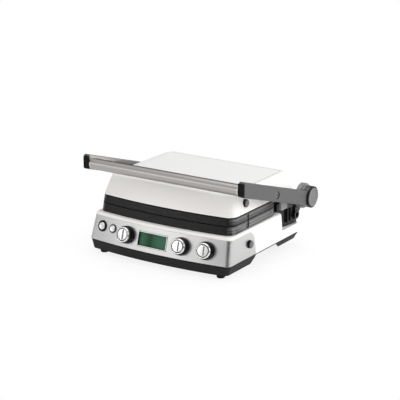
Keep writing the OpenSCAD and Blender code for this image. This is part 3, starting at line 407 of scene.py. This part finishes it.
# Feet: four round rubber pads with a ribbed edge. Each is moulded in one piece with the stem
# that plugs into the pan.
FOOT_R = 0.0095
rubber = finish("black rubber", (0.013, 0.013, 0.013), 0.7, bump=0.1, shine=0.2)
pad = turned("foot", [
    (0.0060, 0.0006), (0.0066, 0.0002), (0.0080, 0.0000), (0.0085, 0.0004), (0.0088, 0.0018),
    (0.0084, 0.0021), (0.0084, 0.0027), (0.0090, 0.0030), (0.0092, 0.0044), (0.0088, 0.0047),
    (0.0088, 0.0053), (FOOT_R, 0.0056), (FOOT_R, 0.0060), (0.0030, 0.0060), (0.0030, 0.0110)], 48)
low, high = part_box("rubber_feet")
corners = [v.co for v in frame["nodes"]["rubber_feet"].data.vertices]
front_x = max(co.x for co in corners if co.y < 0) - FOOT_R
rear_x = max(co.x for co in corners if co.y > 0) - FOOT_R
places = [(side * x, y, 0) for side in (-1, 1)
          for x, y in ((front_x, low.y + FOOT_R), (rear_x, high.y - FOOT_R))]
hand_over(set_out(smooth(pad), "feet", places), rubber, "rubber_feet")

# Dials: a black knob with a turned silver cap, which has a ring groove and a raised grip. A thin
# black ring in the groove is painted shade. The black skirt and the cap turn together on a steel shaft.
BOW = 1.150
LEAN = 15.5 / 52
PANEL_FOOT = 0.031
DIAL_UP = 0.0265
DIALS = (("left", -0.075), ("middle", 0.0655), ("right", 0.1245))
GRIP = Vector((0.0056, 0.0228, 0.0040))
GRIP_Z = 0.0190
GRIP_CORNER = 0.0024
GRIP_EDGE = 0.0010
panel_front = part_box("control_panel")[0].y


def panel_spot(x, up):
    """The place on the control panel, with Z out of it, at x from the middle and up above its foot."""
    turn = math.asin(x / BOW)
    tilt = math.atan(LEAN * math.cos(turn))
    point = Vector((x, panel_front + BOW - math.sqrt(BOW * BOW - x * x) + LEAN * up, PANEL_FOOT + up))
    faced = Matrix.Rotation(turn, 4, "Z") @ Matrix.Rotation(math.pi / 2 - tilt, 4, "X")
    return Matrix.Translation(point) @ faced


def softened(piece, width, rounds, chosen):
    """Rounds off the edges that chosen picks out."""
    bpy.ops.object.mode_set(mode="EDIT")
    bpy.ops.mesh.select_mode(type="EDGE")
    bpy.ops.mesh.select_all(action="DESELECT")
    mesh = bmesh.from_edit_mesh(piece.data)
    for edge in mesh.edges:
        edge.select_set(chosen([v.co.z for v in edge.verts]))
    bmesh.update_edit_mesh(piece.data)
    bpy.ops.mesh.bevel(offset=width, segments=rounds, affect="EDGES")
    bpy.ops.object.mode_set(mode="OBJECT")


def upright(heights):
    """Picks the edges that stand."""
    return abs(heights[0] - heights[1]) > TINY


def above(limit):
    """Picks the edges that lie above a height."""
    return lambda heights: min(heights) > limit


gloss_black = finish("gloss black plastic", (0.003, 0.003, 0.0032), 0.3, spread=0.05, bump=0.02, shine=0.14)
silver = finish("turned silver", (0.85, 0.85, 0.85), 0.24, metallic=1.0, spread=0.08, grain=700, bump=0.02,
                tint=0.04)
knob = smooth(turned("knob", [
    (0.0150, 0.0006), (0.0192, 0.0006), (0.0196, 0.0009), (0.0196, 0.0016), (0.0192, 0.0020),
    (0.0190, 0.0060), (0.0187, 0.0100), (0.0184, 0.0107), (0.0178, 0.0110), (0.0172, 0.0108),
    (0.0170, 0.0104), (0.0100, 0.0104)], 96))
cap = turned("cap", [
    (0.0150, 0.0105), (0.0168, 0.0108), (0.0168, 0.0158), (0.0166, 0.0165), (0.0161, 0.0172),
    (0.0153, 0.0178), (0.0149, 0.0180), (0.0144, 0.0180), (0.0141, 0.0177), (0.0140, 0.0166),
    (0.0124, 0.0166), (0.0123, 0.0175), (0.0120, 0.0179), (0.0115, 0.0180), (0.0040, 0.0182)], 96)
# A thin black ring on the floor of the cap's groove, as painted shade.
groove = smooth(turned("groove", [
    (0.0123, 0.0166), (0.0141, 0.0166), (0.0141, 0.0170), (0.0123, 0.0170), (0.0123, 0.0166)],
    96, ring=True))
grip = block("grip", GRIP, (0, 0, GRIP_Z))
softened(grip, GRIP_CORNER, 5, upright)
softened(grip, GRIP_EDGE, 5, above(GRIP_Z + GRIP.z / 2 - TINY))
cap = smooth(joined([cap, grip], "cap"), 35)
for side, x in DIALS:
    place = panel_spot(x, DIAL_UP)
    hand_over(copy_to(knob, "dial_" + side + "_knob", place), gloss_black, "dial_" + side + "_skirt")
    hand_over(copy_to(cap, "dial_" + side + "_top", place), silver, "dial_" + side + "_cap")
    hand_over(copy_to(groove, "dial_" + side + "_groove_shade", place), gloss_black, "dial_" + side + "_cap")
for pattern in (knob, cap, groove):
    drop(pattern)

# Dial marks: nine small dots round each dial, every fourth one larger. They are printed on
# the steel in dark grey ink.
DOTS = 9
DOT_R = (0.0007, 0.00045)
DOT_RING = 0.0232
DOT_START = 225
DOT_STEP = 33.75
ink = finish("printed grey", (0.05, 0.05, 0.05), 0.5)
dots = [turned("dot", [(r, -0.00005), (r, 0.00008), (r * 0.6, 0.0001)], 12) for r in DOT_R]
for side, x in DIALS:
    ring = []
    for i in range(DOTS):
        angle = math.radians(DOT_START - i * DOT_STEP)
        place = panel_spot(x + DOT_RING * math.cos(angle), DIAL_UP + DOT_RING * math.sin(angle))
        ring.append(copy_to(dots[1 if i % 4 else 0], "dot", place))
    marks = joined(ring, "dial_" + side + "_marks")
    marks.data.materials.append(ink)
    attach(marks, "base")
for pattern in dots:
    drop(pattern)

# Push buttons: two bright dished buttons, the power button in a black ring and the selector
# in a grey one. Each ring sits in a hole of the panel.
BUTTON_UP = 0.0315
grey = finish("grey plastic", (0.055, 0.055, 0.06), 0.4)
for kind, x, r, ring_wide, ring_finish in (("power", -0.1465, 0.008, 0.0045, gloss_black),
                                           ("select", -0.116, 0.007, 0.003, grey)):
    place = panel_spot(x, BUTTON_UP)
    button = smooth(turned(kind + "_push", [
        (r - 0.0004, -0.0070), (r, -0.0066), (r, 0.0022), (r - 0.0002, 0.0027), (r - 0.0007, 0.0031),
        (r - 0.0014, 0.0032), (r - 0.0026, 0.0030), (r * 0.3, 0.0028)]))
    inner = r + 0.0003
    outer = r + ring_wide
    ring = smooth(turned(kind + "_ring", [
        (inner, -0.0030), (outer - 0.0012, -0.0030), (outer - 0.0012, 0.0002), (outer - 0.0002, 0.0002),
        (outer, 0.0005), (outer - 0.0001, 0.0012), (outer - 0.0005, 0.0016), (outer - 0.0010, 0.0017),
        (inner + 0.0008, 0.0017), (inner + 0.0002, 0.0014), (inner, 0.0010), (inner, -0.0030)], ring=True))
    hand_over(copy_to(button, kind + "_push_button", place), silver, kind + "_button")
    hand_over(copy_to(ring, kind + "_surround", place), ring_finish, kind + "_button_ring")
    drop(button)
    drop(ring)

# Screen: a recessed green display behind a clear window. Its surround is black inside and
# brushed steel on the front, and a dark band shows across the glass.
SCREEN_X = -0.008
SCREEN_UP = 0.0255
BAND_X = -0.017
BAND_SPREAD = 0.00012
screen_spot = panel_spot(SCREEN_X, SCREEN_UP)
outward = screen_spot.to_3x3() @ Vector((0, 0, 1))
surround = dressed("screen_bezel", 0.0002)
hand_over(surround, gloss_black, "screen_bezel")
surround.data.materials.append(steel)
for face in surround.data.polygons:
    on_top = (face.center - screen_spot.translation).dot(outward) > -0.001
    face.material_index = 1 if on_top and face.normal.dot(outward) > 0.9 else 0
screen_paint = bpy.data.materials.new("green display")
tree = blank_tree(screen_paint)
spot = shade(tree, "ShaderNodeTexCoord", output="Object")
across = shade(tree, "ShaderNodeSeparateXYZ", {}, {0: spot}, "X")
cells = shade(tree, "ShaderNodeTexWave", {"wave_type": "BANDS", "bands_direction": "X"},
              {"Scale": 160.0, "Distortion": 0.4, "Detail": 1.0})
from_band = across - BAND_X
band = 1.0 / (from_band * from_band * (1 / BAND_SPREAD) + 1.0)
mottle = shade(tree, "ShaderNodeTexNoise", {}, {"Scale": 90.0, "Detail": 2.0})
hue = mixed(tree, band * 0.9 + cells * 0.05 + mottle * 0.06, (0.045, 0.16, 0.095), (0.001, 0.045, 0.012))
glass = shade(tree, "ShaderNodeBsdfPrincipled", {}, {
    "Base Color": hue, "Roughness": mottle * 0.04 + 0.16, "Specular IOR Level": 0.15})
shade(tree, "ShaderNodeOutputMaterial", {}, {"Surface": glass})
hand_over(dressed("screen_window", 0.0002), screen_paint, "screen_window")

# Plates: two ridged cast plates with a dark non-stick coating. Fine steps run round the
# outside of each. Their left and right sides get a painted sheen, darker in the steps as painted shade.
COAT = (0.007, 0.007, 0.0075)
PAINTED_SHEEN = (0.24, 0.24, 0.24)
STEP = 0.0058
SIDE_DEEP = 0.021
SHEEN_FROM = 0.35
SHEEN_SPAN = 0.5
coating = bpy.data.materials.new("non-stick coating")
tree = blank_tree(coating)
spot = shade(tree, "ShaderNodeTexCoord", output="Object")
along = shade(tree, "ShaderNodeMapping", {"vector_type": "POINT"}, {"Vector": spot, "Scale": (0.03, 0.03, 1)})
fine = shade(tree, "ShaderNodeTexNoise", {}, {"Vector": along, "Scale": 1150.0, "Detail": 3.0})
level = shade(tree, "ShaderNodeSeparateXYZ", {}, {0: spot}, "Z")
saw = shade(tree, "ShaderNodeMath", {"operation": "PINGPONG"}, {0: level, 1: STEP / 2})
step_relief_and_shade = rising(tree, saw, 0.0002, 0.0012)
# Painted sheen: a lighter metallic grey on the left and right sides, painted darker in the steps as painted
# shade.
side_sheen = shade(tree, "ShaderNodeAttribute", {"attribute_name": "side_sheen"}, output="Fac")
coat = mixed(tree, fine, tuple(c * 0.7 for c in COAT), COAT)
sheen_hue = mixed(tree, step_relief_and_shade * (fine * 0.4 + 0.6), tuple(c * 0.2 for c in PAINTED_SHEEN), PAINTED_SHEEN)
grain = shade(tree, "ShaderNodeBump", {}, {"Strength": 0.3, "Distance": 0.001, "Height": fine})
relief = shade(tree, "ShaderNodeBump", {}, {
    "Strength": 0.6, "Distance": 0.0004, "Height": step_relief_and_shade, "Normal": grain})
body = shade(tree, "ShaderNodeBsdfPrincipled", {}, {
    "Base Color": mixed(tree, side_sheen, coat, sheen_hue), "Roughness": fine * 0.16 + side_sheen * 0.12 + 0.19,
    "Metallic": side_sheen * 0.7, "Specular IOR Level": 0.24, "Normal": relief})
shade(tree, "ShaderNodeOutputMaterial", {}, {"Surface": body})
for node in ("lower_plate", "upper_plate"):
    plate = dressed(node, 0.0004, split=True)
    side_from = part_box(node)[1].x - SIDE_DEEP
    # Each side vertex gets its share of the painted sheen by how far it faces left or right.
    marks = plate.data.attributes.new("side_sheen", "FLOAT", "POINT")
    for vertex, mark in zip(plate.data.vertices, marks.data):
        share = min(max((abs(vertex.normal.x) - SHEEN_FROM) / SHEEN_SPAN, 0.0), 1.0)
        mark.value = share if abs(vertex.co.x) > side_from else 0.0
    hand_over(plate, coating, node)

# Lid shell: the white moulded lid, drawn out ring by ring over its bowed outline with a
# soft shoulder, then hollowed. Holes let the pivots and the release button through.
WALL = 0.003
CORNER_R = 0.021
TAPER_TALL = 0.038
TAPER_SIDE = 0.009
TAPER_FRONT = 0.0175
TAPER_REAR = 0.014
SHOULDER_Z = 0.0075
SHOULDER_IN = 0.0085
SHOULDER_STEPS = 8
FRONT_STEPS = 14
CORNER_STEPS = 9
WELL_GAP = 0.0032
WELL_DEEP = 0.0012
WELL_CORNER = 0.0076
BORE_LONG = 0.03
BORE_OUT = 0.01
PIVOT_R = 0.01015
PUSH_R = 0.0088
lid_low, lid_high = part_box("lid_shell")
lid_tall = lid_high.z - lid_low.z


def lid_ring(z, draw):
    """The lid's outline at a height above its foot, drawn in by a distance."""
    share = min(z / TAPER_TALL, 1.0)
    half = lid_high.x - TAPER_SIDE * share - draw
    front = lid_low.y + TAPER_FRONT * share + draw
    rear = lid_high.y - TAPER_REAR * share - draw
    r = max(CORNER_R - draw, 0.004)
    cx = half - r
    cy = front + BOW - math.sqrt((BOW - r) ** 2 - cx * cx)
    lean = math.atan2(cy - front - BOW, cx)
    points = []

    def corner(x, y, start, turn, first, last):
        for i in range(first, last):
            a = start + turn * i / CORNER_STEPS
            points.append((x + r * math.cos(a), y + r * math.sin(a)))

    for i in range(-FRONT_STEPS, FRONT_STEPS + 1):
        a = (math.pi / 2 + lean) * i / FRONT_STEPS - math.pi / 2
        points.append((BOW * math.cos(a), front + BOW + BOW * math.sin(a)))
    corner(cx, cy, lean, -lean, 1, CORNER_STEPS + 1)
    corner(half - r, rear - r, 0, math.pi / 2, 0, CORNER_STEPS + 1)
    corner(r - half, rear - r, math.pi / 2, math.pi / 2, 0, CORNER_STEPS + 1)
    corner(-cx, cy, math.pi, -lean, 0, CORNER_STEPS)
    return [Vector((x, y, lid_low.z + z)) for x, y in points]


def lofted(name, rings):
    """A shell through rings of points: a filled ring that is drawn out again and again."""
    bpy.ops.object.select_all(action="DESELECT")
    bpy.ops.mesh.primitive_circle_add(vertices=len(rings[0]), radius=0.1, fill_type="NGON")
    piece = bpy.context.object
    piece.name = piece.data.name = name
    bpy.ops.object.mode_set(mode="EDIT")
    bpy.ops.mesh.select_mode(type="FACE")
    bpy.ops.mesh.select_all(action="SELECT")
    for i, ring in enumerate(rings):
        if i > 0:
            bpy.ops.mesh.extrude_region_move(TRANSFORM_OT_translate={"value": (0, 0, 0.001)})
        mesh = bmesh.from_edit_mesh(piece.data)
        face = [f for f in mesh.faces if f.select][0]
        for loop, point in zip(face.loops, ring):
            loop.vert.co = point
        bmesh.update_edit_mesh(piece.data)
    bpy.ops.mesh.select_all(action="SELECT")
    bpy.ops.mesh.normals_make_consistent(inside=False)
    bpy.ops.object.mode_set(mode="OBJECT")
    return piece


def bored(piece, side, y, z, r):
    """Cuts a round hole along X through the piece's right (1) or left (-1) wall."""
    bpy.ops.object.select_all(action="DESELECT")
    middle = side * (lid_high.x + BORE_OUT - BORE_LONG / 2)
    bpy.ops.mesh.primitive_cylinder_add(vertices=48, radius=r, depth=BORE_LONG, location=(middle, y, z),
                                        rotation=(0, math.pi / 2, 0))
    cut_out(piece, bpy.context.object)


rings = [lid_ring(z, draw) for z, draw in (
    (0.0, 0.003), (0.0, 0.0008), (0.0003, 0.0002), (0.001, 0.0), (0.012, 0.0), (0.025, 0.0), (0.036, 0.0))]
for i in range(1, SHOULDER_STEPS + 1):
    a = math.radians(90 * i / SHOULDER_STEPS)
    rings.append(lid_ring(lid_tall - SHOULDER_Z + SHOULDER_Z * math.sin(a), SHOULDER_IN * (1 - math.cos(a))))
rings.append(lid_ring(lid_tall, 0.012))
shell = lofted("lid_body", rings)
cut_out(shell, lofted("lid_hollow", [lid_ring(z, draw) for z, draw in (
    (-0.002, WALL), (0.010, WALL), (0.030, WALL), (lid_tall - 0.006, 0.0045), (lid_tall - WALL, 0.009))]))
well_low, well_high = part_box("lid_top_plate")
recess = block("recess",
               (well_high.x - well_low.x + WELL_GAP, well_high.y - well_low.y + WELL_GAP, WELL_DEEP * 2),
               (0, (well_low.y + well_high.y) / 2, lid_high.z))
softened(recess, WELL_CORNER, 8, upright)
cut_out(shell, recess)
pivot_low, pivot_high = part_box("lid_pivot_bosses")
pivot = (pivot_low + pivot_high) / 2
push_low, push_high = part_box("upper_release_button")
push = (push_low + push_high) / 2
bored(shell, 1, pivot.y, pivot.z, PIVOT_R)
bored(shell, -1, pivot.y, pivot.z, PIVOT_R)
bored(shell, 1, push.y, push.z, PUSH_R)
hand_over(smooth(shell), white, "lid_shell")

# Top panel: a light grey plate with rounded corners, set into the well in the lid's top. A thin
# black ring under it is painted shade: a dark sheet that shows as the shadow line round its edge.
PANEL_CORNER = 0.006
SHADE_RING_TALL = 0.0009
SHADE_RING_DOWN = 0.00032
top_grey = finish("light grey panel", (0.82, 0.825, 0.825), 0.34, tint=0.03)


def rounded_slab(name, low, high, edge):
    """A flat plate between two corners, rounded in plan and softened round its upper edge."""
    slab = block(name, high - low, (low + high) / 2)
    softened(slab, PANEL_CORNER, 8, upright)
    softened(slab, edge, 3, above(high.z - TINY))
    return smooth(slab)


panel = rounded_slab("top_panel", well_low + Vector((0, 0, SHADE_RING_TALL)), well_high, 0.0002)
# A black ring under the panel, put in as painted shade of the gap round its edge.
shade_ring = rounded_slab("top_panel_shade_ring", well_low, well_high - Vector((0, 0, SHADE_RING_DOWN)), 0.0001)
hand_over(panel, top_grey, "lid_top_plate")
hand_over(shade_ring, rubber, "lid_top_plate")

# Lid frame and back: the frame that carries the upper plate with its pivot bosses, the bridge
# and the cord gland behind, and the drip tray in its slot. All are moulded in black plastic.
hand_over(dressed("lid_frame", 0.0005, split=True), black, "lid_frame")
for node in ("lid_pivot_bosses", "rear_bridge", "cord_gland", "drip_tray"):
    hand_over(dressed(node, 0.0005), black, node)

# Hinge towers: two ribbed towers at the back of the base, which the arms turn on. They are
# moulded in deep black plastic that is a little glossier than the rest.
tower_black = finish("tower black", (0.004, 0.004, 0.0045), 0.24, spread=0.08, bump=0.05, shine=0.28)
for node in ("hinge_tower_left", "hinge_tower_right"):
    hand_over(dressed(node, 0.0004, split=True), tower_black, node)

# Release buttons: a push button on the right side of the lid and of the base, which lets a
# plate go. It is moulded in black plastic, and its outer face is painted grey as painted light from the side.
painted_light_face = finish("painted light button face", (0.12, 0.12, 0.12), 0.35)
for node in ("lower_release_button", "upper_release_button"):
    push_button = dressed(node, 0.0004)
    hand_over(push_button, gloss_black, node)
    push_button.data.materials.append(painted_light_face)
    face_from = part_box(node)[1].x - 0.002
    # The outer end face gets the painted light; the rest stays black.
    for face in push_button.data.polygons:
        face.material_index = 1 if face.normal.x > 0.6 and face.center.x > face_from else 0

# Arms: two cranked arms in metallic grey paint, each with a steel liner on its inner side and
# a black insert with three grooves in its front end.
GROOVE = Vector((0.0012, 0.0016, 0))
arm_grey = finish("metallic grey paint", (0.085, 0.085, 0.087), 0.4, metallic=0.35, spread=0.08, grain=1500,
                  bump=0.04)
satin = finish("satin steel tube", (0.42, 0.405, 0.395), 0.34, metallic=1.0, spread=0.1, grain=900, bump=0.03,
               stretch=(0.02, 1, 1), tint=0.1)
for side in ("left", "right"):
    hand_over(dressed("arm_" + side, 0.0012, rounds=3), arm_grey, "arm_" + side)
    hand_over(dressed("arm_liner_" + side, 0.0004), satin, "arm_liner_" + side)
    insert = dressed("nose_cap_" + side, 0.0003)
    low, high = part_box("nose_cap_" + side)
    size = GROOVE + Vector((0, 0, high.z - low.z - 0.005))
    for share in (0.3, 0.5, 0.7):
        middle = (low.x + (high.x - low.x) * share, low.y, (low.z + high.z) / 2)
        cut_out(insert, block("groove", size, middle))
    hand_over(smooth(insert), gloss_black, "nose_cap_" + side)

# Hub discs: a black spacer and a dished grey cover that close each hinge on its outer side.
# Both are round and sit on the hinge's axis.
SPACER_IN = 0.003
disc_grey = finish("grey hub cover", (0.17, 0.17, 0.172), 0.3, metallic=0.6, spread=0.08, grain=900,
                   bump=0.03)
spacer = smooth(turned("hub_spacer", [
    (0.0100, 0.0000), (0.0240, 0.0000), (0.0240, 0.0024), (0.0237, 0.0029), (0.0232, 0.0031),
    (0.0205, 0.0031), (0.0200, 0.0028), (0.0100, 0.0028)], 96))
cover = smooth(turned("hub_cover", [
    (0.0100, 0.0026), (0.0204, 0.0026), (0.0208, 0.0030), (0.0208, 0.0042), (0.0205, 0.0047),
    (0.0199, 0.0050), (0.0192, 0.0050), (0.0186, 0.0047), (0.0180, 0.0041), (0.0120, 0.0037),
    (0.0050, 0.0036)], 96))
disc_low, disc_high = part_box("hub_disc_right")
hub = (disc_low + disc_high) / 2
hub_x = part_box("hub_rings")[1].x - SPACER_IN
spacers = []
for side, sign in (("right", 1), ("left", -1)):
    place = Matrix.Translation((sign * hub_x, hub.y, hub.z)) @ Matrix.Rotation(sign * math.pi / 2, 4, "Y")
    spacers.append(copy_to(spacer, "hub_spacer_" + side, place))
    hand_over(copy_to(cover, "hub_cover_" + side, place), disc_grey, "hub_disc_" + side)
hand_over(joined(spacers, "hub_spacers"), gloss_black, "hub_rings")
drop(spacer)
drop(cover)

# Handle: a satin steel tube between the arms' front ends, with a bright collar at each end.
# Plugs in its ends hold it in the arms.
TUBE_R = 0.0125
TUBE_INNER_R = 0.0110
COLLAR = 0.0016
tube_low, tube_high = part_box("handle_tube")
middle = (tube_low + tube_high) / 2
half = tube_high.x
end = half - 0.003
along_x = Matrix.Translation((0, middle.y, middle.z)) @ Matrix.Rotation(math.pi / 2, 4, "Y")
tube = smooth(turned("tube", [
    (TUBE_R, -end), (TUBE_R, end), (TUBE_INNER_R, end), (TUBE_INNER_R, -end), (TUBE_R, -end)],
    96, ring=True))
hand_over(copy_to(tube, "grip_tube", along_x), satin, "handle_tube")
collar = smooth(turned("collar", [
    (0.0122, -COLLAR), (0.0126, -0.0015), (0.0128, -0.0012), (0.0128, 0.0012), (0.0126, 0.0015),
    (0.0120, COLLAR), (TUBE_INNER_R, COLLAR), (TUBE_INNER_R, -COLLAR), (0.0122, -COLLAR)],
    96, ring=True))
collars = [copy_to(collar, "collar", along_x @ Matrix.Translation((0, 0, sign * (half - COLLAR))))
           for sign in (-1, 1)]
hand_over(joined(collars, "tube_collars"), steel, "handle_tube")
drop(tube)
drop(collar)

# Pivot screws: two zinc-plated shoulder screws, one through each arm. They run in the bosses
# of the lid frame and carry the lid, which tips on them.
dull_screw = finish("zinc screw", (0.16, 0.16, 0.165), 0.35, metallic=0.8)
hand_over(dressed("lid_pivot_screws", 0.0003), dull_screw, "lid_pivot_screws")

# Other parts: what is inside the base and the lid or hardly shows keeps its shape as it is,
# with a finish for each material that the real parts are made of.
finishes = {
    "white_body": white,
    "steel": steel,
    "black_plastic": black,
    "plate": coating,
    "top_grey": top_grey,
    "arm_grey": arm_grey,
    "rubber": rubber,
    "screw": bright_screw,
    "screen": finish("dark green display", (0.03, 0.16, 0.08), 0.15),
    "board": finish("green board", (0.02, 0.12, 0.05), 0.5),
    "grey_plastic": grey,
    "element": finish("heater sheath", (0.12, 0.11, 0.1), 0.5, metallic=0.8),
    "reflector": finish("bright aluminium", (0.75, 0.75, 0.76), 0.25, metallic=1.0),
    "brass": finish("brass", (0.6, 0.42, 0.16), 0.3, metallic=1.0),
    "light_grey": finish("light grey plastic", (0.21, 0.21, 0.21), 0.4),
    "ivory": finish("ivory plastic", (0.75, 0.7, 0.6), 0.5),
    "cap_silver": silver,
}
for name, node in frame["nodes"].items():
    node.data.materials.clear()
    node.data.materials.append(finishes[slot_of[name]])
